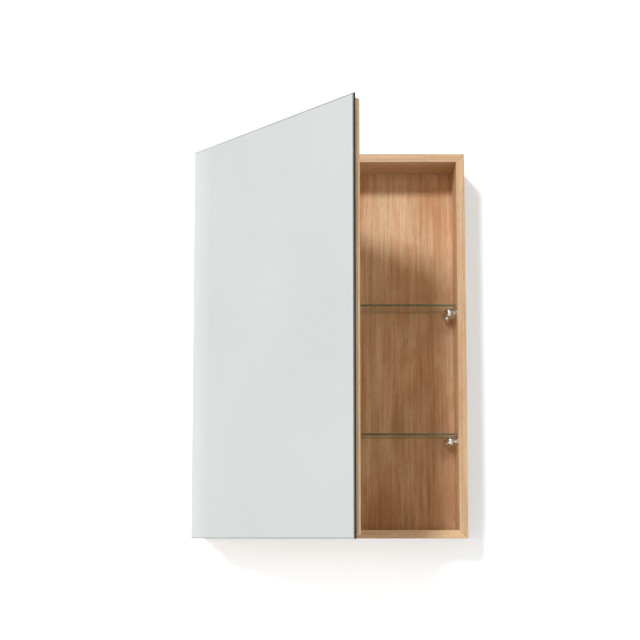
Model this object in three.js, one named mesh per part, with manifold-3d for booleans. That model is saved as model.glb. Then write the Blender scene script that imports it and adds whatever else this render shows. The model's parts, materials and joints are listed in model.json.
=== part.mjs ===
// Wall-hung oak medicine cabinet with one mirror door and two glass shelves, in millimetres.
// +X is to the right, -Y is the front and +Z is up. The origin is the centre of the hanging
// rail's back face, in the plane of the wall. The door is modelled open at its rest angle.
import * as THREE from 'three';
import { mergeVertices } from 'three/addons/utils/BufferGeometryUtils.js';
import Module from 'manifold-3d';

const wasm = await Module();
wasm.setup();

// Carcass
const WIDTH = 480;
const HEIGHT = 700;
const DEPTH = 120;
const BOARD = 15;
const TOP_Z = 45;
const BACK_THICKNESS = 6;
const BACK_RECESS = 14;
const GROOVE_DEPTH = 5;
const GAP = 0.3;

// Hanging rail, its slotted plates and the tongues in the mitred corners
const RAIL_HEIGHT = 60;
const HANGER = { x: 150, width: 22, height: 46, thickness: 1.5, screwZ: 18, screwLength: 10 };
const KEYHOLE = { entryRadius: 4.8, entryZ: -2, slotRadius: 2.4, slotZ: 9 };
const HEAD_ROOM = { depth: 9, beside: 2, above: 5, below: 6 };
const SPLINE = { width: 12, thickness: 3, length: 70, middleY: -72 };

// Shelves and their supports
const SHELF = { thickness: 5, depth: 88, sideGap: 1.5, backGap: 4 };
const SHELF_UNDERSIDES = { lower: 183.5, upper: 418 };
const SUPPORT_Y = { front: -96, back: -42 };
const SUPPORT = { collar: 8, collarEnd: 2, neck: 5.5, neckStart: 2.9, flat: 6.5, pin: 2.5, pinDepth: 8 };
const BEAD = { radius: 9.5, middle: 13, halfLength: 9, firstAngle: -54, step: 18 };
const PAD = { thickness: 1, length: 10, width: 8 };

// Door
const DOOR_ANGLE = 53.8;
const DOOR_GAP = 3.2;
const MIRROR = 4;
const DOOR_BOARD = 12;
const TAPE_GAP = 1.1;
const TAPE = { thickness: 0.5, width: 40, length: 620, x: 150 };
const BOARD_INSET = 6;
const BUMPER = { radius: 4, topRadius: 3.2, thickness: 2.4, fromEdge: 8, fromEnd: 11.5 };

// Hinges: the barrel's axis sits behind the mirror's overhang, beside the door board
const HINGE = { fromSide: 3, fromFront: 2.9, barrel: 2.6, pin: 1.3, bore: 1.45, height: 60 };
const PIN_HEAD = { radius: 2.2, height: 1.2 };
const HINGE_FROM_END = 105;
const LEAF = { start: 3.1, cabinetEnd: 11.6, doorEnd: 17, thickness: 1.2, doorThickness: 1 };
const KNUCKLES = 5;
const LEAF_SCREW_Z = 19;

// Countersunk screws with a cross recess, each named by its length
const SCREW = { head: 2.6, headHeight: 1.5, shank: 1.4, tip: 2 };
const SLOT = { width: 0.7, reach: 1.7, depth: 0.6 };
const LEAF_SCREW_LENGTH = 14;
const DOOR_SCREW_LENGTH = 11;
const CATCH_SCREW_LENGTH = 12;

// Magnetic catch under the top panel and its strike plate on the door
const CATCH = { x: -20, width: 46, depth: 14, height: 12, ear: 8, earHeight: 3 };
const MAGNET = { sideWall: 4, backWall: 4, under: 2, above: 3 };
const STRIKE = { width: 30, height: 13, thickness: 1.2 };

const LEFT = -WIDTH / 2;
const BOTTOM_Z = TOP_Z - HEIGHT;
const INNER_X = WIDTH / 2 - BOARD;
const INNER_TOP = TOP_Z - BOARD;
const INNER_BOTTOM = BOTTOM_Z + BOARD;
const BACK_FRONT_Y = -(BACK_RECESS + BACK_THICKNESS);
const HINGE_X = LEFT + HINGE.fromSide;
const HINGE_Y = -(DEPTH + HINGE.fromFront);
const AXES = {
  right: new THREE.Vector3(1, 0, 0),
  back: new THREE.Vector3(0, 1, 0),
  front: new THREE.Vector3(0, -1, 0),
  up: new THREE.Vector3(0, 0, 1),
};

function material(color, roughness, metalness) {
  return new THREE.MeshStandardMaterial({ color, roughness, metalness });
}

const oak = () => material(0xc79f74, 0.6, 0);
const oakBack = () => material(0xa97850, 0.6, 0);
const steel = () => material(0xb9bcc0, 0.35, 1);
const chrome = () => material(0xdfe2e5, 0.08, 1);
const silvered = () => material(0xdadfdc, 0.03, 1);
const glass = () => material(0xa9bfae, 0.05, 0);
const rubber = () => material(0xd8d8d4, 0.5, 0);
const tape = () => material(0x3c3c3c, 0.9, 0);
const plastic = () => material(0xe9e6df, 0.45, 0);

// Matrix that puts a shape's +Y axis along a direction at a point
function pose(x, y, z, direction = AXES.back) {
  const turn = new THREE.Quaternion().setFromUnitVectors(AXES.back, direction);
  return new THREE.Matrix4().compose(new THREE.Vector3(x, y, z), turn, new THREE.Vector3(1, 1, 1));
}

// Solid body of a closed geometry, for cutting and joining
function solid(geometry, matrix = new THREE.Matrix4()) {
  const bare = geometry.clone().applyMatrix4(matrix);
  bare.deleteAttribute('normal');
  bare.deleteAttribute('uv');
  const merged = mergeVertices(bare, 1e-4);
  return new wasm.Manifold(new wasm.Mesh({
    numProp: 3,
    vertProperties: Float32Array.from(merged.attributes.position.array),
    triVerts: Uint32Array.from(merged.index.array),
  }));
}

function geometryOf(body) {
  const mesh = body.getMesh();
  const geometry = new THREE.BufferGeometry();
  geometry.setAttribute('position', new THREE.BufferAttribute(mesh.vertProperties, 3));
  geometry.setIndex(new THREE.BufferAttribute(mesh.triVerts, 1));
  geometry.computeVertexNormals();
  return geometry;
}

// Box between two corners
function block(low, high) {
  const size = high.map((value, i) => value - low[i]);
  const middle = high.map((value, i) => (value + low[i]) / 2);
  return solid(new THREE.BoxGeometry(...size), new THREE.Matrix4().makeTranslation(...middle));
}

function rod(radius, length, matrix, sides = 20) {
  return solid(new THREE.CylinderGeometry(radius, radius, length, sides), matrix);
}

// Turned piece from [radius, height] pairs that start and end on the axis
function turned(profile, sides = 20) {
  const points = profile.map(([radius, height]) => new THREE.Vector2(radius, height));
  return new THREE.LatheGeometry(points, sides);
}

// Board with an outline in X and Z that runs from the wall plane to the carcass's front
function panel(outline) {
  const shape = new THREE.Shape(outline.map(([x, z]) => new THREE.Vector2(x, z)));
  const geometry = new THREE.ExtrudeGeometry(shape, { depth: DEPTH, bevelEnabled: false });
  return solid(geometry.rotateX(Math.PI / 2));
}

function joined(bodies) {
  return bodies.reduce((whole, body) => whole.add(body));
}

function cut(body, tools) {
  return tools.reduce((rest, tool) => rest.subtract(tool), body);
}

function add(parent, name, geometry, surface, matrix = new THREE.Matrix4()) {
  const mesh = new THREE.Mesh(geometry, surface);
  mesh.name = name;
  mesh.applyMatrix4(matrix);
  parent.add(mesh);
}

// Countersunk screw along +Y with its head's flat face at the origin
function screwProfile(length, clearance = 0) {
  const head = SCREW.head + clearance;
  const shank = SCREW.shank + clearance;
  return [
    [0, 0],
    [head, 0],
    [shank, SCREW.headHeight + clearance / 2],
    [shank, length - SCREW.tip + clearance],
    [0, length + clearance],
  ];
}

function screwGeometry(length) {
  const cross = (across, along) => block(
    [-across, -SLOT.depth, -along],
    [across, SLOT.depth, along],
  );
  const body = solid(turned(screwProfile(length), 12));
  return geometryOf(cut(body, [cross(SLOT.width / 2, SLOT.reach), cross(SLOT.reach, SLOT.width / 2)]));
}

function screwHole(length, matrix) {
  return solid(turned(screwProfile(length, GAP), 12), matrix);
}

const cabinet = new THREE.Group();
const door = new THREE.Group();
door.position.set(HINGE_X, HINGE_Y, 0);
door.rotation.z = THREE.MathUtils.degToRad(-DOOR_ANGLE);
cabinet.add(door);

// Places of the screws and supports, gathered first because each one also cuts its board
const HINGE_HEIGHTS = { upper: TOP_Z - HINGE_FROM_END, lower: BOTTOM_Z + HINGE_FROM_END };
const leafScrews = [];
for (const [level, middle] of Object.entries(HINGE_HEIGHTS)) {
  for (const [place, side] of [['top', 1], ['bottom', -1]]) {
    leafScrews.push({ level, place, z: middle + side * LEAF_SCREW_Z });
  }
}
const LEAF_SCREW_X = (LEAF.start + LEAF.cabinetEnd) / 2;
const DOOR_SCREW_X = (LEAF.start + LEAF.doorEnd) / 2 + 1;
const leafFrontY = HINGE_Y + HINGE.barrel - LEAF.thickness;
const cabinetScrewPose = ({ z }) => pose(HINGE_X + LEAF_SCREW_X, leafFrontY, z, AXES.back);
const doorScrewPose = ({ z }) => pose(DOOR_SCREW_X, LEAF.doorThickness, z, AXES.front);

const supports = [];
for (const [level, underside] of Object.entries(SHELF_UNDERSIDES)) {
  for (const [sideName, side] of [['left', -1], ['right', 1]]) {
    for (const [place, y] of Object.entries(SUPPORT_Y)) {
      const z = BOTTOM_Z + underside - PAD.thickness - 2 * GAP - SUPPORT.flat;
      supports.push({ name: `${level}_${sideName}_${place}`, side, y, z });
    }
  }
}

const CATCH_SCREW_X = CATCH.width / 2 - CATCH.ear / 2;
const CATCH_FRONT_Y = -DEPTH;
const MAGNET_FRONT_Y = -DEPTH - DOOR_GAP + GAP;
const CATCH_MIDDLE_Y = CATCH_FRONT_Y + CATCH.depth / 2;
const catchScrews = [['left', -1], ['right', 1]].map(([name, side]) => ({
  name,
  matrix: pose(CATCH.x + side * CATCH_SCREW_X, CATCH_MIDDLE_Y, INNER_TOP - GAP - CATCH.earHeight, AXES.up),
}));

// Carcass boards, mitred at the corners and grooved for the back panel
function addCarcass() {
  const groove = block(
    [-INNER_X - GROOVE_DEPTH - GAP, BACK_FRONT_Y - GAP, INNER_BOTTOM - GROOVE_DEPTH - GAP],
    [INNER_X + GROOVE_DEPTH + GAP, -BACK_RECESS + GAP, INNER_TOP + GROOVE_DEPTH + GAP],
  );
  const corners = [];
  const ends = [['top', TOP_Z - BOARD / 2, 1], ['bottom', BOTTOM_Z + BOARD / 2, -1]];
  for (const [vertical, z, zSide] of ends) {
    for (const [horizontal, xSide] of [['left', -1], ['right', 1]]) {
      const matrix = new THREE.Matrix4().makeRotationY(xSide * zSide * Math.PI / 4);
      matrix.setPosition(xSide * (WIDTH / 2 - BOARD / 2), SPLINE.middleY, z);
      corners.push({ name: `corner_spline_${vertical}_${horizontal}`, matrix });
    }
  }
  const slots = corners.map(({ matrix }) => solid(new THREE.BoxGeometry(
    SPLINE.width + 2 * GAP,
    SPLINE.length + 2 * GAP,
    SPLINE.thickness + 2 * GAP,
  ), matrix));
  const mitreGap = GAP * Math.SQRT2;
  const boards = {
    top_panel: [[LEFT, TOP_Z], [-INNER_X, INNER_TOP], [INNER_X, INNER_TOP], [-LEFT, TOP_Z]],
    bottom_panel: [[LEFT, BOTTOM_Z], [-LEFT, BOTTOM_Z], [INNER_X, INNER_BOTTOM], [-INNER_X, INNER_BOTTOM]],
    side_panel_left: [
      [LEFT, BOTTOM_Z + mitreGap],
      [-INNER_X, INNER_BOTTOM + mitreGap],
      [-INNER_X, INNER_TOP - mitreGap],
      [LEFT, TOP_Z - mitreGap],
    ],
    side_panel_right: [
      [-LEFT, BOTTOM_Z + mitreGap],
      [-LEFT, TOP_Z - mitreGap],
      [INNER_X, INNER_TOP - mitreGap],
      [INNER_X, INNER_BOTTOM + mitreGap],
    ],
  };
  const pinHoles = supports.map(({ side, y, z }) => rod(
    SUPPORT.pin + GAP,
    2 * (SUPPORT.pinDepth + GAP),
    pose(side * INNER_X, y, z, AXES.right),
  ));
  const screwHoles = [
    ...leafScrews.map((screw) => screwHole(LEAF_SCREW_LENGTH, cabinetScrewPose(screw))),
    ...catchScrews.map(({ matrix }) => screwHole(CATCH_SCREW_LENGTH, matrix)),
  ];
  for (const [name, outline] of Object.entries(boards)) {
    const body = cut(panel(outline), [groove, ...slots, ...pinHoles, ...screwHoles]);
    add(cabinet, name, geometryOf(body), oak());
  }
  for (const { name, matrix } of corners) {
    const tongue = new THREE.BoxGeometry(SPLINE.width, SPLINE.length, SPLINE.thickness);
    add(cabinet, name, tongue, oak(), matrix);
  }
  const back = new THREE.BoxGeometry(
    2 * (INNER_X + GROOVE_DEPTH),
    BACK_THICKNESS,
    INNER_TOP - INNER_BOTTOM + 2 * GROOVE_DEPTH,
  );
  const backY = -(BACK_RECESS + BACK_THICKNESS / 2);
  add(cabinet, 'back_panel', back, oakBack(), pose(0, backY, (INNER_TOP + INNER_BOTTOM) / 2));
}

// Rail glued between the side panels, with two slotted steel plates let into its back
function addHanging() {
  const halfWidth = HANGER.width / 2;
  const halfHeight = HANGER.height / 2;
  const faceY = -GAP / 2;
  const through = BACK_RECESS;
  const keyhole = (x) => joined([
    rod(KEYHOLE.entryRadius, 2 * through, pose(x, 0, KEYHOLE.entryZ)),
    rod(KEYHOLE.slotRadius, 2 * through, pose(x, 0, KEYHOLE.slotZ)),
    block(
      [x - KEYHOLE.slotRadius, -through, KEYHOLE.entryZ],
      [x + KEYHOLE.slotRadius, through, KEYHOLE.slotZ],
    ),
  ]);
  const roomHalf = KEYHOLE.entryRadius + HEAD_ROOM.beside;
  let rail = block(
    [-INNER_X + GAP, -BACK_RECESS + GAP, INNER_TOP - GAP - RAIL_HEIGHT],
    [INNER_X - GAP, 0, INNER_TOP - GAP],
  );
  for (const [name, side] of [['left', -1], ['right', 1]]) {
    const x = side * HANGER.x;
    const pocket = block(
      [x - halfWidth - GAP, faceY - HANGER.thickness - GAP, -halfHeight - GAP],
      [x + halfWidth + GAP, 1, halfHeight + GAP],
    );
    const headRoom = block(
      [x - roomHalf, -HEAD_ROOM.depth, KEYHOLE.entryZ - HEAD_ROOM.below],
      [x + roomHalf, 1, KEYHOLE.slotZ + HEAD_ROOM.above],
    );
    const screws = [['top', 1], ['bottom', -1]].map(([place, up]) => ({
      place,
      matrix: pose(x, faceY, up * HANGER.screwZ, AXES.front),
    }));
    const holes = screws.map(({ matrix }) => screwHole(HANGER.screwLength, matrix));
    const plate = block(
      [x - halfWidth, faceY - HANGER.thickness, -halfHeight],
      [x + halfWidth, faceY, halfHeight],
    );
    rail = cut(rail, [pocket, headRoom, ...holes]);
    add(cabinet, `hanger_plate_${name}`, geometryOf(cut(plate, [keyhole(x), ...holes])), steel());
    for (const { place, matrix } of screws) {
      add(cabinet, `hanger_screw_${name}_${place}`, screwGeometry(HANGER.screwLength), steel(), matrix);
    }
  }
  add(cabinet, 'hanging_rail', geometryOf(rail), oak());
}

// Turned support: pin, collar against the side, neck and rounded bead, with a flat for the pad
function supportGeometry() {
  const { collar, collarEnd, neck, neckStart, flat, pin, pinDepth } = SUPPORT;
  const profile = [
    [0, -pinDepth],
    [pin, -pinDepth],
    [pin, GAP],
    [collar, GAP],
    [collar, collarEnd],
    [neck, neckStart],
  ];
  for (let angle = BEAD.firstAngle; angle < 90; angle += BEAD.step) {
    const turn = THREE.MathUtils.degToRad(angle);
    profile.push([BEAD.radius * Math.cos(turn), BEAD.middle + BEAD.halfLength * Math.sin(turn)]);
  }
  const tip = BEAD.middle + BEAD.halfLength;
  profile.push([0, tip]);
  const body = solid(turned(profile), pose(0, 0, 0, AXES.right));
  const above = block([0, -2 * collar, flat], [2 * tip, 2 * collar, 2 * collar]);
  return geometryOf(cut(body, [above]));
}

function addShelves() {
  const width = 2 * (INNER_X - SHELF.sideGap);
  const middleY = BACK_FRONT_Y - SHELF.backGap - SHELF.depth / 2;
  for (const [level, underside] of Object.entries(SHELF_UNDERSIDES)) {
    const plate = new THREE.BoxGeometry(width, SHELF.depth, SHELF.thickness);
    const z = BOTTOM_Z + underside + SHELF.thickness / 2;
    add(cabinet, `glass_shelf_${level}`, plate, glass(), pose(0, middleY, z));
  }
  for (const { name, side, y, z } of supports) {
    const matrix = new THREE.Matrix4().makeRotationZ(side > 0 ? Math.PI : 0);
    matrix.setPosition(side * INNER_X, y, z);
    add(cabinet, `shelf_support_${name}`, supportGeometry(), chrome(), matrix);
    const pad = new THREE.BoxGeometry(PAD.length, PAD.width, PAD.thickness);
    const padX = side * (INNER_X - BEAD.middle);
    const padZ = z + SUPPORT.flat + GAP + PAD.thickness / 2;
    add(cabinet, `support_pad_${name}`, pad, rubber(), pose(padX, y, padZ));
  }
}

// One leaf with its own knuckles: even ones for the cabinet, odd ones for the door
function leafGeometry(first, plateLow, plateHigh, end, holes) {
  const pitch = HINGE.height / KNUCKLES;
  const half = HINGE.height / 2;
  const pieces = [block([LEAF.start, plateLow, -half], [end, plateHigh, half])];
  for (let i = first; i < KNUCKLES; i += 2) {
    const low = -half + i * pitch + (i > 0 ? GAP / 2 : 0);
    const high = -half + (i + 1) * pitch - (i < KNUCKLES - 1 ? GAP / 2 : 0);
    pieces.push(rod(HINGE.barrel, high - low, pose(0, 0, (low + high) / 2, AXES.up)));
    pieces.push(block([0, plateLow, low], [LEAF.start + 1, plateHigh, high]));
  }
  const bore = rod(HINGE.bore, HINGE.height + 2, pose(0, 0, 0, AXES.up));
  return geometryOf(cut(joined(pieces), [bore, ...holes]));
}

function addHinges() {
  const cabinetHigh = HINGE.barrel;
  const cabinetLow = cabinetHigh - LEAF.thickness;
  const doorHigh = LEAF.doorThickness;
  const reach = HINGE.height / 2 + GAP;
  const pin = turned([
    [0, -reach - PIN_HEAD.height],
    [HINGE.pin, -reach - PIN_HEAD.height],
    [PIN_HEAD.radius, -reach - PIN_HEAD.height / 2],
    [PIN_HEAD.radius, -reach],
    [HINGE.pin, -reach],
    [HINGE.pin, reach],
    [PIN_HEAD.radius, reach],
    [PIN_HEAD.radius, reach + PIN_HEAD.height / 2],
    [HINGE.pin, reach + PIN_HEAD.height],
    [0, reach + PIN_HEAD.height],
  ]);
  for (const [level, z] of Object.entries(HINGE_HEIGHTS)) {
    const cabinetHoles = [-1, 1].map((up) => screwHole(
      LEAF_SCREW_LENGTH,
      pose(LEAF_SCREW_X, cabinetLow, up * LEAF_SCREW_Z, AXES.back),
    ));
    const doorHoles = [-1, 1].map((up) => screwHole(
      DOOR_SCREW_LENGTH,
      pose(DOOR_SCREW_X, doorHigh, up * LEAF_SCREW_Z, AXES.front),
    ));
    const fixed = leafGeometry(0, cabinetLow, cabinetHigh, LEAF.cabinetEnd, cabinetHoles);
    const moving = leafGeometry(1, 0, doorHigh, LEAF.doorEnd, doorHoles);
    add(cabinet, `hinge_leaf_cabinet_${level}`, fixed, steel(), pose(HINGE_X, HINGE_Y, z));
    add(door, `hinge_leaf_door_${level}`, moving, steel(), pose(0, 0, z));
    add(cabinet, `hinge_pin_${level}`, pin.clone(), steel(), pose(HINGE_X, HINGE_Y, z, AXES.up));
  }
  for (const screw of leafScrews) {
    const name = `leaf_screw_${screw.level}_${screw.place}`;
    add(cabinet, `cabinet_${name}`, screwGeometry(LEAF_SCREW_LENGTH), steel(), cabinetScrewPose(screw));
    add(door, `door_${name}`, screwGeometry(DOOR_SCREW_LENGTH), steel(), doorScrewPose(screw));
  }
}

// Door, in the hinge axis's own frame as if it were closed
function addDoor() {
  const mirrorLeft = -HINGE.fromSide;
  const boardBack = HINGE.fromFront - DOOR_GAP;
  const boardFront = boardBack - DOOR_BOARD;
  const mirrorBack = boardFront - TAPE_GAP;
  const mirrorFront = mirrorBack - MIRROR;
  const boardLeft = mirrorLeft + BOARD_INSET;
  const boardRight = mirrorLeft + WIDTH - BOARD_INSET;
  const strikeX = CATCH.x - HINGE_X;
  const strikeZ = INNER_TOP - GAP - CATCH.height / 2;
  const holes = leafScrews.map((screw) => screwHole(DOOR_SCREW_LENGTH, doorScrewPose(screw)));
  const pocketHalf = STRIKE.width / 2 + GAP;
  const strikePocket = block(
    [strikeX - pocketHalf, boardBack - STRIKE.thickness - GAP, strikeZ - STRIKE.height / 2 - GAP],
    [strikeX + pocketHalf, boardBack + 1, strikeZ + STRIKE.height / 2 + GAP],
  );
  const board = block(
    [boardLeft, boardFront, BOTTOM_Z + BOARD_INSET],
    [boardRight, boardBack, TOP_Z - BOARD_INSET],
  );
  add(door, 'door_board', geometryOf(cut(board, [...holes, strikePocket])), oak());

  const middleX = mirrorLeft + WIDTH / 2;
  const middleZ = (TOP_Z + BOTTOM_Z) / 2;
  const plate = new THREE.BoxGeometry(WIDTH, MIRROR, HEIGHT);
  add(door, 'mirror_glass', plate, silvered(), pose(middleX, (mirrorBack + mirrorFront) / 2, middleZ));

  const tapeY = boardFront - TAPE_GAP / 2;
  for (const [name, side] of [['left', -1], ['right', 1]]) {
    const strip = new THREE.BoxGeometry(TAPE.width, TAPE.thickness, TAPE.length);
    add(door, `mirror_tape_${name}`, strip, tape(), pose(middleX + side * TAPE.x, tapeY, middleZ));
  }
  const bumperX = boardRight - BUMPER.fromEdge;
  const bumperY = boardBack + GAP + BUMPER.thickness / 2;
  for (const [name, z] of [['top', TOP_Z - BUMPER.fromEnd], ['bottom', BOTTOM_Z + BUMPER.fromEnd]]) {
    const dot = new THREE.CylinderGeometry(BUMPER.topRadius, BUMPER.radius, BUMPER.thickness, 20);
    add(door, `door_bumper_${name}`, dot, rubber(), pose(bumperX, bumperY, z, AXES.back));
  }
  const strike = new THREE.BoxGeometry(STRIKE.width, STRIKE.thickness, STRIKE.height);
  add(door, 'strike_plate', strike, steel(), pose(strikeX, boardBack - STRIKE.thickness / 2, strikeZ));
}

// Catch body with a magnet between its two ears, screwed up into the top panel
function addCatch() {
  const half = CATCH.width / 2;
  const top = INNER_TOP - GAP;
  const back = CATCH_FRONT_Y + CATCH.depth;
  const bodyHalf = half - CATCH.ear;
  const magnetHalf = bodyHalf - MAGNET.sideWall;
  const magnetLow = top - CATCH.height + MAGNET.under;
  const magnetHigh = top - MAGNET.above;
  const magnetBack = back - MAGNET.backWall;
  const body = joined([
    block([CATCH.x - half, CATCH_FRONT_Y, top - CATCH.earHeight], [CATCH.x + half, back, top]),
    block([CATCH.x - bodyHalf, CATCH_FRONT_Y, top - CATCH.height], [CATCH.x + bodyHalf, back, top]),
  ]);
  const pocket = block(
    [CATCH.x - magnetHalf - GAP, CATCH_FRONT_Y - 1, magnetLow - GAP],
    [CATCH.x + magnetHalf + GAP, magnetBack + GAP, magnetHigh + GAP],
  );
  const holes = catchScrews.map(({ matrix }) => screwHole(CATCH_SCREW_LENGTH, matrix));
  add(cabinet, 'catch_body', geometryOf(cut(body, [pocket, ...holes])), plastic());
  const bar = block(
    [CATCH.x - magnetHalf, MAGNET_FRONT_Y, magnetLow],
    [CATCH.x + magnetHalf, magnetBack, magnetHigh],
  );
  add(cabinet, 'catch_magnet', geometryOf(bar), steel());
  for (const { name, matrix } of catchScrews) {
    add(cabinet, `catch_screw_${name}`, screwGeometry(CATCH_SCREW_LENGTH), steel(), matrix);
  }
}

addCarcass();
addHanging();
addShelves();
addHinges();
addDoor();
addCatch();

export default cabinet;
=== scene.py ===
"""Oak medicine cabinet with a mirror door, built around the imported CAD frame."""

import json
import math

import bmesh
import bpy
from mathutils import Matrix, Vector


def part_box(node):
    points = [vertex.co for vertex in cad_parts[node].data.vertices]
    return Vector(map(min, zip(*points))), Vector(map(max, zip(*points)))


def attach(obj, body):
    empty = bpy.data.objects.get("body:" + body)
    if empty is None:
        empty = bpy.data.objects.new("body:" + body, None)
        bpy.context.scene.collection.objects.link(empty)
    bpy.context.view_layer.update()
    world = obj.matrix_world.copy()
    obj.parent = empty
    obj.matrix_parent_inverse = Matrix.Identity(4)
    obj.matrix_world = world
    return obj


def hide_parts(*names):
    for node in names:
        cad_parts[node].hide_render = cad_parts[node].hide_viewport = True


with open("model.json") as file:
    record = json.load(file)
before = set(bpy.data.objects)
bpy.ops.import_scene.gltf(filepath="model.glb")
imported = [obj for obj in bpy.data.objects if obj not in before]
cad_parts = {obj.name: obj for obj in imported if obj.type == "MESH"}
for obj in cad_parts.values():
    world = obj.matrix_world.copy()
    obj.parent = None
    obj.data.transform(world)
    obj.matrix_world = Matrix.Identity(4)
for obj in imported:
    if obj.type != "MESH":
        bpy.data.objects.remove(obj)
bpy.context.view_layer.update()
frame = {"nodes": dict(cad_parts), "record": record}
RECORD = frame["record"]
SCENE = bpy.context.scene
MM = 0.001

# Bodies and the door's own frame: closed door axes, origin on the hinge pin
CABINET, DOOR = "cabinet", "door"
HINGE = RECORD["behaviour"]["joints"][0]
HINGE_AT = Vector(HINGE["pos_m"])
DOOR_ANGLE = math.radians(-HINGE["range_deg"][0])
DOOR_FRAME = Matrix.Translation(HINGE_AT) @ Matrix.Rotation(-DOOR_ANGLE, 4, "Z")
WORLD_FRAME = Matrix.Identity(4)

# Fine shapes, in metres. SUPPORT_STEM and BEAD give radius and height above the side panel, in
# millimetres. BETWEEN_ARMS holds directions between two arms of a screw's cross, in degrees.
# CROSS's taper and BUMPER's shoulder and crown are shares of the full size.
EDGE = 0.7 * MM
BACK_EDGE = 0.4 * MM
GLASS_EDGE = 0.8 * MM
PAD_EDGE = 0.35 * MM
ARRIS = dict(width=2.5 * MM, depth=0.5 * MM, back=0.3 * MM)
LEAF = dict(start=3.1 * MM, cabinet=1.2 * MM, door=1.0 * MM, barrel=2.6 * MM,
            web=1 * MM, inset=0.02 * MM, gap=0.3 * MM, edge=0.2 * MM)
KNUCKLES = 5
PIN = dict(radius=1.3 * MM, head=2.2 * MM, head_height=1.2 * MM)
SCREW = dict(head=2.6 * MM, head_height=1.5 * MM, shank=1.4 * MM, tip=2 * MM)
CROSS = dict(half_width=0.35 * MM, reach=1.7 * MM, depth=0.6 * MM, taper=0.7)
BETWEEN_ARMS = [24, 36, 45, 54, 66]
SUPPORT_STEM = [(0, -8), (2.2, -8), (2.5, -7.6), (2.5, 0.3), (7.6, 0.3),
                (8, 0.7), (8, 1.8), (7.5, 2.4), (5.5, 2.9)]
BEAD = dict(radius=9.5, middle=13, half_length=9)
BEAD_ANGLES = [math.radians(degrees) for degrees in range(-54, 90, 6)]
PIN_DEPTH = 8 * MM
FLAT_HEIGHT = 6.5 * MM
BUMPER = dict(shoulder=0.35, crown=0.8, edge=0.6 * MM)

# Edges flatter than SMOOTH_BELOW are shaded smooth; MIRROR_SMOOTH keeps the mirror's bevel crisp
SMOOTH_BELOW = math.radians(32)
MIRROR_SMOOTH = 0.05
# A face counts as facing along an axis when its normal reaches this far along it
SQUARE_ON = 0.9
# A rounded corner takes at most this share of each side beside it
CORNER_SHARE = 0.45

# Camera: its place from the carcass's middle, front and underside, then its turn and lens
EYE = dict(right=-9.6 * MM, ahead=2769.2 * MM, above=3.9 * MM)
YAW, PITCH = math.radians(0.300), math.radians(6.807)
LENS, SHIFT_Y = 86.86, 0.05

# Stage: metres. The glow is painted light: the wall's emission lightens the cabinet's shadow on it, by
# distance from the middle and downwards
STAGE = dict(side=9.0, height=5.0, floor=-1.9, wall=1 * MM)
PAINTED_GLOW = dict(near=0.42, far=0.66, colour=(0.32, 0.34, 0.36, 1), under=0.67, foot=0.75, below=0.13)
STUDIO = dict(colour=(1.0, 0.93, 0.81, 1), strength=0.51)


# ---------------------------------------------------------------- node helpers

def linear(red, green, blue):
    """Colour from 0-255 display values to the linear values that shaders take."""
    def one(value):
        value /= 255
        return value / 12.92 if value <= 0.04045 else ((value + 0.055) / 1.055) ** 2.4
    return (one(red), one(green), one(blue), 1.0)


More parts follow.
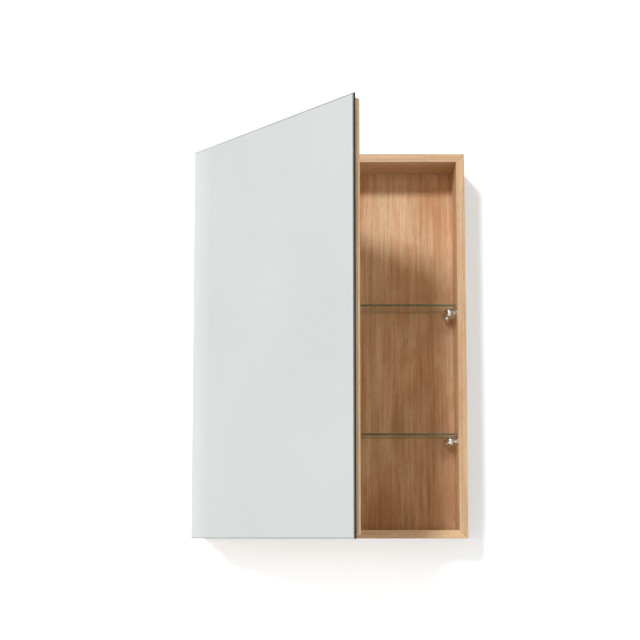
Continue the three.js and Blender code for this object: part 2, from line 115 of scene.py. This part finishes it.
class Tree:
    """A material with its Principled shader and short calls for the nodes that feed it."""

    def __init__(self, name):
        self.material = bpy.data.materials.new(name)
        self.material.use_nodes = True
        self.nodes = self.material.node_tree.nodes
        self.links = self.material.node_tree.links
        self.shader = self.nodes["Principled BSDF"]
        self.coords = self.nodes.new("ShaderNodeTexCoord").outputs["Object"]

    def set(self, **values):
        for key, value in values.items():
            self.shader.inputs[key.replace("_", " ")].default_value = value

    def stretch(self, scale):
        node = self.nodes.new("ShaderNodeMapping")
        node.inputs["Scale"].default_value = scale
        self.links.new(self.coords, node.inputs["Vector"])
        return node.outputs["Vector"]

    def shifted(self, vector, offset):
        node = self.nodes.new("ShaderNodeVectorMath")
        node.operation = "ADD"
        self.links.new(vector, node.inputs[0])
        node.inputs[1].default_value = offset
        return node.outputs["Vector"]

    def noise(self, scale, detail=2.0, roughness=0.5, distortion=0.0, vector=None):
        node = self.nodes.new("ShaderNodeTexNoise")
        node.inputs["Scale"].default_value = scale
        node.inputs["Detail"].default_value = detail
        node.inputs["Roughness"].default_value = roughness
        node.inputs["Distortion"].default_value = distortion
        self.links.new(vector or self.coords, node.inputs["Vector"])
        return node.outputs["Fac"]

    def cells(self, scale):
        node = self.nodes.new("ShaderNodeTexVoronoi")
        node.inputs["Scale"].default_value = scale
        self.links.new(self.coords, node.inputs["Vector"])
        return node.outputs["Distance"]

    def growth_rings(self, scale, distortion, vector, axis):
        node = self.nodes.new("ShaderNodeTexWave")
        node.wave_type = "RINGS"
        node.rings_direction = axis
        node.inputs["Scale"].default_value = scale
        node.inputs["Distortion"].default_value = distortion
        node.inputs["Detail"].default_value = 3.0
        node.inputs["Detail Scale"].default_value = 0.6
        self.links.new(vector, node.inputs["Vector"])
        return node.outputs["Fac"]

    def length(self, vector):
        node = self.nodes.new("ShaderNodeVectorMath")
        node.operation = "LENGTH"
        self.links.new(vector, node.inputs[0])
        return node.outputs["Value"]

    def ramp(self, value, *stops):
        node = self.nodes.new("ShaderNodeValToRGB")
        elements = node.color_ramp.elements
        while len(elements) < len(stops):
            elements.new(0.5)
        for element, (position, colour) in zip(elements, stops):
            element.position = position
            element.color = colour
        self.links.new(value, node.inputs["Fac"])
        return node.outputs["Color"]

    def levels(self, value, low, high, to_low=0.0, to_high=1.0):
        node = self.nodes.new("ShaderNodeMapRange")
        numbers = {"From Min": low, "From Max": high, "To Min": to_low, "To Max": to_high}
        for socket, number in numbers.items():
            node.inputs[socket].default_value = number
        self.links.new(value, node.inputs["Value"])
        return node.outputs["Result"]

    def mix(self, first, second, factor, blend="MIX"):
        node = self.nodes.new("ShaderNodeMix")
        node.data_type = "RGBA"
        node.blend_type = blend
        for socket, value in ((0, factor), (6, first), (7, second)):
            if isinstance(value, (int, float, tuple)):
                node.inputs[socket].default_value = value
            else:
                self.links.new(value, node.inputs[socket])
        return node.outputs[2]

    def math(self, operation, first, second):
        node = self.nodes.new("ShaderNodeMath")
        node.operation = operation
        for socket, value in enumerate((first, second)):
            if isinstance(value, (int, float)):
                node.inputs[socket].default_value = value
            else:
                self.links.new(value, node.inputs[socket])
        return node.outputs[0]

    def colour(self, socket):
        self.links.new(socket, self.shader.inputs["Base Color"])

    def rough(self, socket):
        self.links.new(socket, self.shader.inputs["Roughness"])

    def bump(self, height, distance, strength):
        node = self.nodes.new("ShaderNodeBump")
        node.inputs["Strength"].default_value = strength
        node.inputs["Distance"].default_value = distance
        self.links.new(height, node.inputs["Height"])
        self.links.new(node.outputs["Normal"], self.shader.inputs["Normal"])


# ---------------------------------------------------------------- materials

def oak(name, grain, light, middle, dark, heart,
        red=(1.0, 0.88, 0.78, 1), redness=0.75, figure=0.06):
    """Oiled oak. The grain runs along one axis; heart is where the growth rings centre.

    red tints soft blotches by up to redness, and figure is the growth rings' share of the tone.
    """
    tree = Tree(name)
    tree.set(Specular_IOR_Level=0.3)
    along = "XYZ".index(grain)
    seed = sum(heart) * 10 + 5

    def grained(ratio, offset=(seed, seed * 0.7, seed * 1.3)):
        scale = [1.0, 1.0, 1.0]
        scale[along] = ratio
        return tree.shifted(tree.stretch(scale), offset)

    around = "Z" if grain == "Y" else "Y"
    ring_ratio = 0.07
    centre = [-value for value in heart]
    centre[along] *= ring_ratio
    rings = tree.growth_rings(30, 7.0, grained(ring_ratio, centre), around)
    broad = tree.noise(20, 2, 0.5, 0.8, grained(0.20))
    warmth = tree.noise(26, 2, 0.5, 0.9, grained(0.26, centre))
    bands = tree.noise(60, 1, 0.5, 0.3, grained(0.04))
    streaks = tree.noise(520, 2, 0.6, 0.0, grained(0.012))
    fibres = tree.noise(1500, 2, 0.6, 0.0, grained(0.02))
    pores = tree.noise(1150, 2, 0.5, 0.0, grained(0.05))
    flecks = tree.noise(260, 2, 0.5, 0.0, grained(0.15))

    tone = 0.0
    shares = ((rings, figure), (broad, 0.23), (bands, 0.11), (streaks, 0.48 - figure), (fibres, 0.16))
    for part, share in shares:
        tone = tree.math("ADD", tree.math("MULTIPLY", part, share), tone)
    plain = tree.ramp(tone, (0.33, dark), (0.50, middle), (0.67, light))
    base = tree.mix(plain, red, tree.levels(warmth, 0.42, 0.66, 0.0, redness), "MULTIPLY")
    pore_mask = tree.levels(pores, 0.60, 0.68, 0.0, 0.5)
    shade = tree.mix((1, 1, 1, 1), (0.50, 0.38, 0.28, 1), pore_mask)
    fleck_mask = tree.levels(flecks, 0.66, 0.76, 0.0, 0.22)
    tree.colour(tree.mix(tree.mix(base, light, fleck_mask), shade, 1.0, "MULTIPLY"))
    tree.rough(tree.levels(streaks, 0.3, 0.7, 0.48, 0.64))
    relief = tree.math("SUBTRACT", tree.math("MULTIPLY", fibres, 0.4), pore_mask)
    tree.bump(relief, 0.1 * MM, 0.45)
    return tree.material


def mirror_face():
    tree = Tree("mirror_silver")
    tree.set(Metallic=1.0, Specular_IOR_Level=0.5)
    tree.colour(tree.ramp(tree.noise(3.5, 2), (0.35, linear(213, 214, 211)), (0.65, linear(217, 218, 215))))
    tree.rough(tree.levels(tree.noise(14, 4, 0.6), 0.4, 0.75, 0.0, 0.025))
    return tree.material


def mirror_edge():
    tree = Tree("mirror_polished_edge")
    tree.set(Specular_IOR_Level=0.3)
    fine = tree.noise(420, 3, 0.6, 0.0, tree.stretch((1, 1, 0.05)))
    tree.colour(tree.ramp(fine, (0.35, linear(30, 35, 28)), (0.65, linear(48, 53, 43))))
    tree.rough(tree.levels(fine, 0.3, 0.7, 0.08, 0.2))
    return tree.material


def mirror_arris():
    tree = Tree("mirror_ground_arris")
    tree.set(Metallic=1.0)
    fine = tree.noise(300, 3, 0.6)
    tree.colour(tree.ramp(fine, (0.35, linear(168, 171, 169)), (0.65, linear(180, 183, 181))))
    tree.rough(tree.levels(fine, 0.3, 0.7, 0.12, 0.22))
    return tree.material


def mirror_back():
    tree = Tree("mirror_back_paint")
    fine = tree.noise(160, 3, 0.6)
    tree.colour(tree.ramp(fine, (0.3, linear(96, 99, 99)), (0.7, linear(112, 115, 114))))
    tree.rough(tree.levels(fine, 0.3, 0.7, 0.5, 0.65))
    tree.bump(fine, 0.05 * MM, 0.4)
    return tree.material


def shelf_glass():
    tree = Tree("shelf_glass_face")
    tree.set(Alpha=0.13, Specular_IOR_Level=0.5)
    tree.colour(tree.ramp(tree.noise(9, 2), (0.3, linear(96, 112, 84)), (0.7, linear(110, 126, 96))))
    tree.rough(tree.levels(tree.noise(22, 4, 0.6), 0.4, 0.8, 0.01, 0.05))
    return tree.material


def shelf_glass_edge(name, alpha, dark, light):
    """Glass seen through its edge, where it is greener and less clear."""
    tree = Tree(name)
    tree.set(Alpha=alpha, Specular_IOR_Level=0.7)
    fine = tree.noise(260, 3, 0.6, 0.0, tree.stretch((0.05, 1, 1)))
    tree.colour(tree.ramp(fine, (0.3, dark), (0.7, light)))
    tree.rough(tree.levels(fine, 0.3, 0.7, 0.06, 0.16))
    return tree.material


def chrome():
    tree = Tree("bright_chrome")
    tree.set(Metallic=1.0)
    cloud = tree.noise(180, 3, 0.6)
    tree.colour(tree.ramp(cloud, (0.3, linear(222, 225, 226)), (0.7, linear(236, 238, 238))))
    tree.rough(tree.levels(cloud, 0.35, 0.75, 0.04, 0.12))
    tree.bump(tree.noise(700, 2), 0.02 * MM, 0.3)
    return tree.material


def plated_steel():
    tree = Tree("nickel_plated_steel")
    tree.set(Metallic=1.0)
    brushed = tree.noise(900, 3, 0.6, 0.0, tree.stretch((1, 1, 0.06)))
    tree.colour(tree.ramp(brushed, (0.3, linear(176, 176, 172)), (0.7, linear(204, 204, 200))))
    tree.rough(tree.levels(brushed, 0.3, 0.7, 0.22, 0.38))
    tree.bump(brushed, 0.02 * MM, 0.4)
    return tree.material


def clear_rubber():
    tree = Tree("clear_soft_pad")
    tree.set(Alpha=0.72, Specular_IOR_Level=0.5)
    cloud = tree.noise(420, 3, 0.6)
    tree.colour(tree.ramp(cloud, (0.3, linear(206, 208, 200)), (0.7, linear(226, 227, 220))))
    tree.rough(tree.levels(cloud, 0.3, 0.7, 0.25, 0.42))
    return tree.material


def foam_tape():
    tree = Tree("foam_tape")
    cell = tree.cells(1500)
    tree.colour(tree.ramp(cell, (0.1, linear(40, 40, 41)), (0.6, linear(74, 74, 75))))
    tree.rough(tree.levels(cell, 0.0, 0.6, 0.8, 0.95))
    tree.bump(cell, 0.15 * MM, 0.8)
    return tree.material


def moulded_plastic():
    tree = Tree("white_moulded_plastic")
    fine = tree.noise(1300, 2, 0.6)
    tree.colour(tree.ramp(fine, (0.3, linear(224, 221, 213)), (0.7, linear(235, 232, 225))))
    tree.rough(tree.levels(fine, 0.3, 0.7, 0.38, 0.5))
    tree.bump(fine, 0.03 * MM, 0.5)
    return tree.material


OAK_TONES = linear(209, 176, 141), linear(191, 156, 120), linear(165, 127, 90)
# Painted light: the door board's tones are lighter than the other boards' to stand in for light that the
# lamps don't bring to it
DOOR_PAINTED_LIGHT_TONES = linear(222, 193, 158), linear(205, 174, 139), linear(180, 146, 110)
# Painted light: the side panels' inner faces take these lighter tones than their edges, standing in for
# light that the lamps don't bring there
INNER_FACE_PAINTED_LIGHT_TONES = linear(238, 203, 164), linear(222, 184, 143), linear(198, 154, 112)
BACK_TONES = linear(227, 193, 153), linear(208, 168, 127), linear(175, 129, 87)
UPRIGHT_OAK = oak("oak_upright_grain", "Z", *OAK_TONES, (0.31, 0.02, -0.2))
SIDE_FACE_OAK_PAINTED_LIGHT = oak("oak_side_inner_face_painted_light", "Z", *INNER_FACE_PAINTED_LIGHT_TONES, (0.31, 0.02, -0.2))
LEVEL_OAK = oak("oak_level_grain", "X", *OAK_TONES, (0.10, 0.06, 0.12))
BACK_OAK = oak("oak_back_veneer", "Z", *BACK_TONES, (0.135, 0.0, -0.42),
               red=(0.84, 0.65, 0.51, 1), redness=0.8, figure=0.03)
DOOR_OAK_PAINTED_LIGHT = oak("oak_door_board", "Z", *DOOR_PAINTED_LIGHT_TONES, (0.25, 0.0, -0.30))
DEEP_OAK = oak("oak_tongue", "Y", *OAK_TONES, (0.05, 0.0, 0.03))
STEEL = plated_steel()
CHROME = chrome()
RUBBER = clear_rubber()
SHELF_SURFACES = [
    shelf_glass(),
    shelf_glass_edge("shelf_glass_front", 0.88, linear(58, 58, 34), linear(84, 84, 54)),
    shelf_glass_edge("shelf_glass_edge", 0.22, linear(70, 74, 46), linear(98, 104, 70)),
    shelf_glass_edge("shelf_glass_arris", 0.60, linear(150, 138, 104), linear(176, 164, 130)),
]


# ---------------------------------------------------------------- mesh helpers

def place(name, bm, materials, body, node, matrix=WORLD_FRAME,
          edge=0.0, segments=2, pick="ANGLE", smooth_below=SMOOTH_BELOW):
    """Makes a mesh piece that stands for one CAD node, with softened edges."""
    bmesh.ops.recalc_face_normals(bm, faces=bm.faces)
    for face in bm.faces:
        face.smooth = True
    for line in bm.edges:
        line.smooth = line.calc_face_angle(0.0) < smooth_below
    mesh = bpy.data.meshes.new(name)
    bm.to_mesh(mesh)
    bm.free()
    for material in materials:
        mesh.materials.append(material)
    piece = bpy.data.objects.new(name, mesh)
    SCENE.collection.objects.link(piece)
    piece.matrix_world = matrix
    if edge:
        bevel = piece.modifiers.new("soft_edges", "BEVEL")
        bevel.width = edge
        bevel.segments = segments
        bevel.limit_method = pick
        bevel.angle_limit = SMOOTH_BELOW
        bevel.harden_normals = True
    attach(piece, body)
    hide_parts(node)
    return piece


def local_box(node, matrix):
    """A CAD node's lowest and highest corners in a frame of its own."""
    back = matrix.inverted()
    points = [back @ v.co for v in frame["nodes"][node].data.vertices]
    low = Vector([min(p[i] for p in points) for i in range(3)])
    high = Vector([max(p[i] for p in points) for i in range(3)])
    return low, high


def add_box(bm, low, high):
    """Adds a box between two corners and returns its faces."""
    corners = [
        bm.verts.new((x, y, z))
        for z in (low[2], high[2]) for y in (low[1], high[1]) for x in (low[0], high[0])
    ]
    sides = ((0, 2, 3, 1), (4, 5, 7, 6), (0, 1, 5, 4), (2, 6, 7, 3), (0, 4, 6, 2), (1, 3, 7, 5))
    return [bm.faces.new([corners[i] for i in side]) for side in sides]


def keep_sharp(bm, leaves_sharp):
    """Marks for bevelling every edge but those of faces whose normal the test picks out."""
    weight = bm.edges.layers.float.new("bevel_weight_edge")
    for face in bm.faces:
        face.normal_update()
    for line in bm.edges:
        line[weight] = 0.0 if any(leaves_sharp(face.normal) for face in line.link_faces) else 1.0


def rounded_profile(profile, radius, steps=3):
    """Rounds each corner between the ends of a (radius, height) profile with a short curve."""
    points = [Vector(p) for p in profile]
    soft = [points[0]]
    for before, corner, after in zip(points, points[1:], points[2:]):
        shorter_side = min((before - corner).length, (after - corner).length)
        reach = min(radius, shorter_side * CORNER_SHARE)
        start = corner + (before - corner).normalized() * reach
        end = corner + (after - corner).normalized() * reach
        for step in range(steps + 1):
            t = step / steps
            soft.append(start * (1 - t) ** 2 + corner * 2 * t * (1 - t) + end * t ** 2)
    soft.append(points[-1])
    return soft


def add_rings(bm, rings, matrix):
    """Skins rings of points, each given in the matrix's frame; a ring of one point closes an end."""
    sides = max(map(len, rings))
    loops = [[bm.verts.new(matrix @ Vector(point)) for point in ring] for ring in rings]
    for lower, upper in zip(loops, loops[1:]):
        for i in range(sides):
            j = (i + 1) % sides
            below = [lower[i % len(lower)], lower[j % len(lower)]]
            above = [upper[j % len(upper)], upper[i % len(upper)]]
            bm.faces.new(list(dict.fromkeys(below + above)))


def ring_points(radius, height, angles):
    """Points round the axis; radius is a number or a function of the angle."""
    reach = radius if callable(radius) else lambda angle: radius
    return [(reach(a) * math.cos(a), reach(a) * math.sin(a), height) for a in angles]


def add_turned(bm, profile, matrix, sides=48):
    """Adds a body turned round its own +Z from a profile that starts and ends on the axis."""
    angles = [2 * math.pi * i / sides for i in range(sides)]
    middle = [ring_points(radius, height, angles) for radius, height in profile[1:-1]]
    add_rings(bm, [[(0, 0, profile[0][1])], *middle, [(0, 0, profile[-1][1])]], matrix)


# ---------------------------------------------------------------- carcass

def carcass_board(node, edge_material, face_material, inner_side):
    """Board with mitred ends: its inner face stops short of its outer one by its thickness."""
    low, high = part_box(node)
    axis = 0 if inner_side in ("left", "right") else 2
    length_axis = 2 - axis
    thickness = high[axis] - low[axis]
    bm = bmesh.new()
    add_box(bm, low, high)
    inner = high[axis] if inner_side in ("right", "top") else low[axis]
    for vertex in bm.verts:
        if abs(vertex.co[axis] - inner) < thickness / 2:
            middle = (low[length_axis] + high[length_axis]) / 2
            vertex.co[length_axis] -= math.copysign(thickness, vertex.co[length_axis] - middle)
    for face in bm.faces:
        if all(abs(vertex.co[axis] - inner) < thickness / 2 for vertex in face.verts):
            face.material_index = 1
    keep_sharp(bm, lambda normal: max(map(abs, normal)) < SQUARE_ON)
    materials = [edge_material, face_material]
    place(f"oak_{node}", bm, materials, CABINET, node, edge=EDGE, pick="WEIGHT")


def make_carcass():
    carcass_board("top_panel", LEVEL_OAK, LEVEL_OAK, "bottom")
    carcass_board("bottom_panel", LEVEL_OAK, LEVEL_OAK, "top")
    # The side panels' inner faces get the lighter oak that carries painted light
    carcass_board("side_panel_left", UPRIGHT_OAK, SIDE_FACE_OAK_PAINTED_LIGHT, "right")
    carcass_board("side_panel_right", UPRIGHT_OAK, SIDE_FACE_OAK_PAINTED_LIGHT, "left")
    bm = bmesh.new()
    low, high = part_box("back_panel")
    add_box(bm, low, high)
    place("oak_back_panel", bm, [BACK_OAK], CABINET, "back_panel", edge=BACK_EDGE)


# ---------------------------------------------------------------- shelves

def shelf_surface(normal):
    """Index in SHELF_SURFACES for a face of a shelf, by the way it faces."""
    if abs(normal.z) > SQUARE_ON:
        return 0
    return 1 if normal.y < -SQUARE_ON else 2


def make_shelf(level):
    """Glass shelf with ground edges all round."""
    node = f"glass_shelf_{level}"
    low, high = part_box(node)
    bm = bmesh.new()
    for face in add_box(bm, low, high):
        face.normal_update()
        face.material_index = shelf_surface(face.normal)
    piece = place(node + "_pane", bm, SHELF_SURFACES, CABINET, node,
                  edge=GLASS_EDGE, segments=1)
    piece.modifiers["soft_edges"].material = len(SHELF_SURFACES) - 1
    piece.modifiers["soft_edges"].harden_normals = False


def make_support(node):
    """Chrome shelf support: pin, collar, neck and rounded bead, with a flat under the pad."""
    low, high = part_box(node)
    side = 1 if low.x + high.x > 0 else -1
    wall_x = (high.x if side > 0 else low.x) - side * PIN_DEPTH
    bead = [
        (BEAD["radius"] * math.cos(angle), BEAD["middle"] + BEAD["half_length"] * math.sin(angle))
        for angle in BEAD_ANGLES
    ]
    tip = (0, BEAD["middle"] + BEAD["half_length"])
    profile = [(radius * MM, height * MM) for radius, height in SUPPORT_STEM + bead + [tip]]
    turn = Matrix.Rotation(math.radians(-90 * side), 4, "Y")
    middle = Vector((wall_x, (low.y + high.y) / 2, high.z - FLAT_HEIGHT))
    bm = bmesh.new()
    add_turned(bm, profile, Matrix.Translation(middle) @ turn)
    for vertex in bm.verts:
        vertex.co.z = min(vertex.co.z, high.z)
    bmesh.ops.remove_doubles(bm, verts=bm.verts, dist=1e-6)
    place(node + "_chrome", bm, [CHROME], CABINET, node)


def make_pad(node):
    """Clear pad between a support and its shelf."""
    low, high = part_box(node)
    bm = bmesh.new()
    add_box(bm, low, high)
    place(node + "_soft", bm, [RUBBER], CABINET, node, edge=PAD_EDGE, segments=3)


# ---------------------------------------------------------------- hinges and screws

def make_leaf(node, body, matrix, first_knuckle):
    """Hinge leaf: a plate with every other knuckle of the barrel joined to it."""
    low, high = local_box(node, matrix)
    axis = matrix.inverted() @ HINGE_AT
    on_cabinet = first_knuckle == 0
    front = high.y - LEAF["cabinet"] if on_cabinet else axis.y
    back = high.y if on_cabinet else axis.y + LEAF["door"]
    pitch = (high.z - low.z) / KNUCKLES
    barrel, inset = LEAF["barrel"], LEAF["inset"]
    bm = bmesh.new()
    add_box(bm, (axis.x + LEAF["start"], front, low.z), (high.x, back, high.z))
    for i in range(first_knuckle, KNUCKLES, 2):
        start = low.z + i * pitch + (LEAF["gap"] / 2 if i else 0)
        end = low.z + (i + 1) * pitch - (LEAF["gap"] / 2 if i < KNUCKLES - 1 else 0)
        corners = [(0, start), (barrel, start), (barrel, end), (0, end)]
        profile = rounded_profile(corners, LEAF["gap"])
        add_turned(bm, profile, Matrix.Translation((axis.x, axis.y, 0)), sides=32)
        web_end = axis.x + LEAF["start"] + LEAF["edge"]
        add_box(bm, (axis.x + LEAF["web"], front + inset, start), (web_end, back - inset, end))
    place(node + "_plate", bm, [STEEL], body, node, matrix, edge=LEAF["edge"])


def make_pin(node):
    """Hinge pin with a rounded head at each end."""
    low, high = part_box(node)
    radius, head, tall = PIN["radius"], PIN["head"], PIN["head_height"]
    foot, neck = low.z, low.z + tall
    lower = [(0, foot), (radius, foot), (head, foot + tall / 2), (head, neck), (radius, neck)]
    upper = [(reach, low.z + high.z - height) for reach, height in reversed(lower)]
    bm = bmesh.new()
    on_axis = Matrix.Translation((HINGE_AT.x, HINGE_AT.y, 0))
    add_turned(bm, rounded_profile(lower + upper, LEAF["gap"]), on_axis, sides=32)
    place(node + "_steel", bm, [STEEL], CABINET, node)


def cross_radius(angle):
    """Reach of a cross-shaped recess in one direction."""
    folded = abs((angle + math.pi / 4) % (math.pi / 2) - math.pi / 4)
    if folded <= math.atan(CROSS["half_width"] / CROSS["reach"]):
        return CROSS["reach"] / math.cos(folded)
    return CROSS["half_width"] / math.sin(folded)


def make_screw(node, body, drive_in, matrix=WORLD_FRAME):
    """Countersunk cross-head screw. drive_in is the way its tip points, in the given frame."""
    low, high = local_box(node, matrix)
    axis = Vector(drive_in)
    length = abs((high - low).dot(axis))
    head_at = (low + high) / 2 - axis * length / 2
    corner = math.degrees(math.atan(CROSS["half_width"] / CROSS["reach"]))
    quarter = [-corner, 0, corner, *BETWEEN_ARMS]
    angles = [math.radians(turn + part) for turn in range(0, 360, 90) for part in quarter]
    rings = [
        [(0, 0, CROSS["depth"])],
        ring_points(lambda angle: cross_radius(angle) * CROSS["taper"], CROSS["depth"], angles),
        ring_points(cross_radius, 0, angles),
        ring_points(SCREW["head"], 0, angles),
        ring_points(SCREW["shank"], SCREW["head_height"], angles),
        ring_points(SCREW["shank"], length - SCREW["tip"], angles),
        [(0, 0, length)],
    ]
    turn = axis.to_track_quat("Z", "Y").to_matrix().to_4x4()
    bm = bmesh.new()
    add_rings(bm, rings, Matrix.Translation(head_at) @ turn)
    place(node + "_cross_head", bm, [STEEL], body, node, matrix)


def make_hardware():
    for level in ("upper", "lower"):
        make_leaf(f"hinge_leaf_cabinet_{level}", CABINET, WORLD_FRAME, 0)
        make_leaf(f"hinge_leaf_door_{level}", DOOR, DOOR_FRAME, 1)
        make_pin(f"hinge_pin_{level}")
        for end in ("top", "bottom"):
            make_screw(f"cabinet_leaf_screw_{level}_{end}", CABINET, (0, 1, 0))
            make_screw(f"door_leaf_screw_{level}_{end}", DOOR, (0, -1, 0), DOOR_FRAME)
    for side in ("left", "right"):
        make_screw(f"catch_screw_{side}", CABINET, (0, 0, 1))
        for end in ("top", "bottom"):
            make_screw(f"hanger_screw_{side}_{end}", CABINET, (0, -1, 0))


# ---------------------------------------------------------------- door

def make_door_board():
    low, high = local_box("door_board", DOOR_FRAME)
    bm = bmesh.new()
    add_box(bm, low, high)
    place("oak_door_board", bm, [DOOR_OAK_PAINTED_LIGHT], DOOR, "door_board", DOOR_FRAME, edge=EDGE)


def make_mirror():
    """Mirror plate with a narrow ground bevel round its front."""
    low, high = local_box("mirror_glass", DOOR_FRAME)
    layers = [
        (ARRIS["width"], low.y),
        (0, low.y + ARRIS["depth"]),
        (0, high.y - ARRIS["back"]),
        (ARRIS["back"], high.y),
    ]
    bm = bmesh.new()
    rings = []
    for inset, y in layers:
        left, right, under, over = low.x + inset, high.x - inset, low.z + inset, high.z - inset
        corners = ((left, under), (right, under), (right, over), (left, over))
        rings.append([bm.verts.new((x, y, z)) for x, z in corners])
    bm.faces.new(rings[0]).material_index = 0
    bm.faces.new(rings[-1]).material_index = 2
    for surface, front, back in zip((3, 1, 1), rings, rings[1:]):
        for i in range(4):
            j = (i + 1) % 4
            bm.faces.new((front[i], front[j], back[j], back[i])).material_index = surface
    surfaces = [mirror_face(), mirror_edge(), mirror_back(), mirror_arris()]
    place("mirror_pane", bm, surfaces, DOOR, "mirror_glass", DOOR_FRAME,
          smooth_below=MIRROR_SMOOTH)


def make_bumper(node):
    """Clear bumper on the door's back, narrower towards the carcass."""
    low, high = local_box(node, DOOR_FRAME)
    radius, tall = (high.x - low.x) / 2, high.y - low.y
    shoulder, crown = tall * BUMPER["shoulder"], radius * BUMPER["crown"]
    profile = [(0, 0), (radius, 0), (radius, shoulder), (crown, tall), (0, tall)]
    foot = Matrix.Translation(((low.x + high.x) / 2, low.y, (low.z + high.z) / 2))
    turn = Matrix.Rotation(math.radians(-90), 4, "X")
    bm = bmesh.new()
    add_turned(bm, rounded_profile(profile, BUMPER["edge"]), foot @ turn, sides=36)
    place(node + "_soft", bm, [RUBBER], DOOR, node, DOOR_FRAME)


def dress_cad_nodes():
    """Materials for the CAD nodes whose shape is already right."""
    looks = {
        "corner_spline": DEEP_OAK,
        "hanging_rail": LEVEL_OAK,
        "hanger_plate": STEEL,
        "mirror_tape": foam_tape(),
        "catch_body": moulded_plastic(),
        "catch_magnet": STEEL,
        "strike_plate": STEEL,
    }
    for node, obj in frame["nodes"].items():
        for start, material in looks.items():
            if node.startswith(start):
                obj.data.materials.clear()
                obj.data.materials.append(material)


# ---------------------------------------------------------------- stage, light and camera

def plane(name, corners, material):
    """Flat four-cornered piece of the stage."""
    mesh = bpy.data.meshes.new(name)
    mesh.from_pydata(corners, [], [(0, 1, 2, 3)])
    mesh.materials.append(material)
    obj = bpy.data.objects.new(name, mesh)
    SCENE.collection.objects.link(obj)


def wall_material():
    """White wall, see-through from behind, with painted light: a faint glow beside and below the cabinet
    that lightens its shadow on the wall.
    """
    wall = Tree("stage_wall")
    wall.set(Base_Color=(0.7, 0.7, 0.7, 1), Roughness=0.9, Specular_IOR_Level=0.1, Emission_Strength=1.0)
    # Painted light: emission beside the cabinet and below it lightens the cabinet's shadow on the wall
    aside = wall.length(wall.stretch((1, 0, 0)))
    beside = wall.ramp(aside, (PAINTED_GLOW["near"], PAINTED_GLOW["colour"]), (PAINTED_GLOW["far"], (0, 0, 0, 1)))
    top = STAGE["height"]
    drop = wall.length(wall.shifted(wall.stretch((0, 0, 1)), (0, 0, -top)))
    below = wall.levels(drop, top + PAINTED_GLOW["under"], top + PAINTED_GLOW["foot"], 0.0, PAINTED_GLOW["below"])
    glow = wall.mix(beside, below, 1.0, "ADD")
    wall.links.new(glow, wall.shader.inputs["Emission Color"])
    clear = wall.nodes.new("ShaderNodeBsdfTransparent")
    facing = wall.nodes.new("ShaderNodeNewGeometry")
    mixed = wall.nodes.new("ShaderNodeMixShader")
    wall.links.new(facing.outputs["Backfacing"], mixed.inputs[0])
    wall.links.new(wall.shader.outputs[0], mixed.inputs[1])
    wall.links.new(clear.outputs[0], mixed.inputs[2])
    wall.links.new(mixed.outputs[0], wall.nodes["Material Output"].inputs["Surface"])
    return wall.material


def floor_material():
    tree = Tree("stage_floor")
    tree.set(Base_Color=(0.86, 0.86, 0.85, 1), Roughness=0.8)
    return tree.material


def make_stage():
    """Wall just behind the cabinet and a pale floor below it."""
    side, top, floor = STAGE["side"], STAGE["height"], STAGE["floor"]
    upright = ((-side, floor), (side, floor), (side, top), (-side, top))
    plane("stage_wall", [(x, STAGE["wall"], z) for x, z in upright], wall_material())
    level = ((-side, -side), (side, -side), (side, side), (-side, side))
    plane("stage_floor", [(x, y, floor) for x, y in level], floor_material())


def sun(name, towards, strength, width, tint=(1, 1, 1)):
    """Distant light that shines towards a direction; width in degrees softens its shadows."""
    data = bpy.data.lights.new(name, "SUN")
    data.color = tint
    data.energy = strength
    data.angle = math.radians(width)
    obj = bpy.data.objects.new(name, data)
    SCENE.collection.objects.link(obj)
    obj.rotation_mode = "QUATERNION"
    obj.rotation_quaternion = Vector(towards).to_track_quat("-Z", "Y")


def make_light():
    world = bpy.data.worlds.new("studio")
    world.use_nodes = True
    background = world.node_tree.nodes["Background"]
    background.inputs["Color"].default_value = STUDIO["colour"]
    background.inputs["Strength"].default_value = STUDIO["strength"]
    SCENE.world = world
    SCENE.view_settings.view_transform = "Standard"
    sun("key_light", (0.375, 1.0, -0.40), 2.45, 8, (0.91, 1.0, 1.09))
    sun("side_fill", (0.6, 1.0, 0.1), 1.1, 30)
    sun("back_fill", (-0.35, -1.0, -0.45), 0.5, 25)


def make_camera():
    """Camera at the photo's viewing angle, placed from the carcass."""
    low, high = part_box("top_panel")
    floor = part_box("bottom_panel")[0].z
    data = bpy.data.cameras.new("camera")
    data.sensor_width = 36
    data.lens = LENS
    data.shift_y = SHIFT_Y
    data.clip_start, data.clip_end = 0.05, 50
    camera = bpy.data.objects.new("camera", data)
    SCENE.collection.objects.link(camera)
    camera.location = ((low.x + high.x) / 2 + EYE["right"], low.y - EYE["ahead"], floor + EYE["above"])
    ahead = Vector((-math.sin(YAW) * math.cos(PITCH), math.cos(YAW) * math.cos(PITCH), math.sin(PITCH)))
    camera.rotation_mode = "QUATERNION"
    camera.rotation_quaternion = ahead.to_track_quat("-Z", "Y")
    SCENE.camera = camera


make_carcass()
for shelf in ("upper", "lower"):
    make_shelf(shelf)
for cad_node in sorted(frame["nodes"]):
    if cad_node.startswith("shelf_support"):
        make_support(cad_node)
    elif cad_node.startswith("support_pad"):
        make_pad(cad_node)
make_hardware()
make_door_board()
make_mirror()
make_bumper("door_bumper_top")
make_bumper("door_bumper_bottom")
dress_cad_nodes()
make_stage()
make_light()
make_camera()
